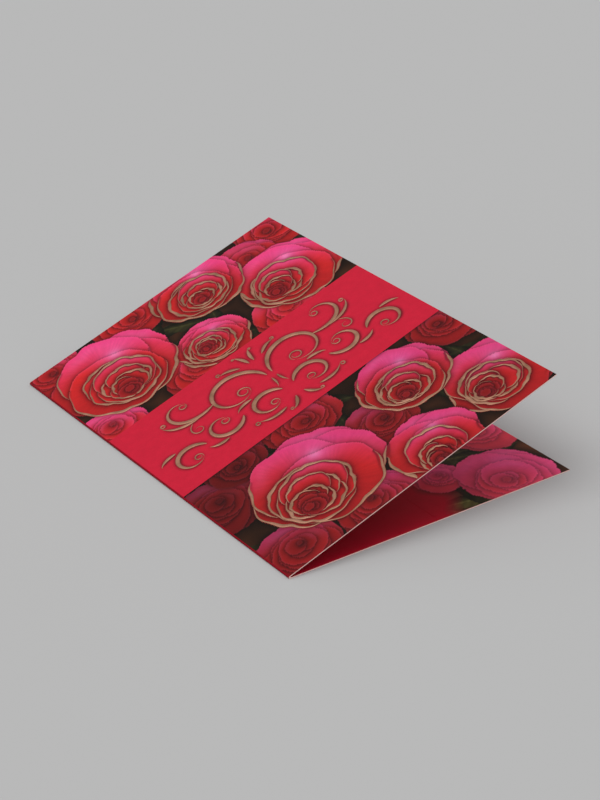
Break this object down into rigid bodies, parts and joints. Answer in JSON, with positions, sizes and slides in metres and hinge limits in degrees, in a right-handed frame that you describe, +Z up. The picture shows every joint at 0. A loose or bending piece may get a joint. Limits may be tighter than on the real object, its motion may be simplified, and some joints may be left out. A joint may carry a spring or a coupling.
{
  "type": "greeting card",
  "caption": "Greeting card folded once from thin board, lying on its back page with the cover a little open; flowered print, a plain red band and raised bronze foil on the cover.",
  "frame": {"origin": "bottom centre of the bounding box: on the surface under the back page, midway between the fold and the back page's free edge and midway along the fold", "axes": "+Y along the fold, +X across the back page from the fold to its free edge, +Z up from the back page"},
  "size_m": [0.12, 0.18, 0.0405],
  "materials": {
    "card_board": "printed board, satin laminate over deep red, pale cut edges",
    "dark_print": "dark green-black print under satin laminate",
    "band_print": "plain red print under satin laminate",
    "blossom_print": "pink and crimson print under satin laminate",
    "dim_print": "dim crimson print under satin laminate",
    "bronze_foil": "matt bronze hot-stamped foil, slightly raised"
  },
  "bodies": {
    "root": {"card": "card_board", "ground_print": "dark_print", "band_print": "band_print", "blossom_print": "blossom_print", "dim_blossom_print": "dim_print", "page_ground_print": "dark_print", "page_blossom_print": "dim_print", "foil": "bronze_foil"}
  },
  "joints": []
}
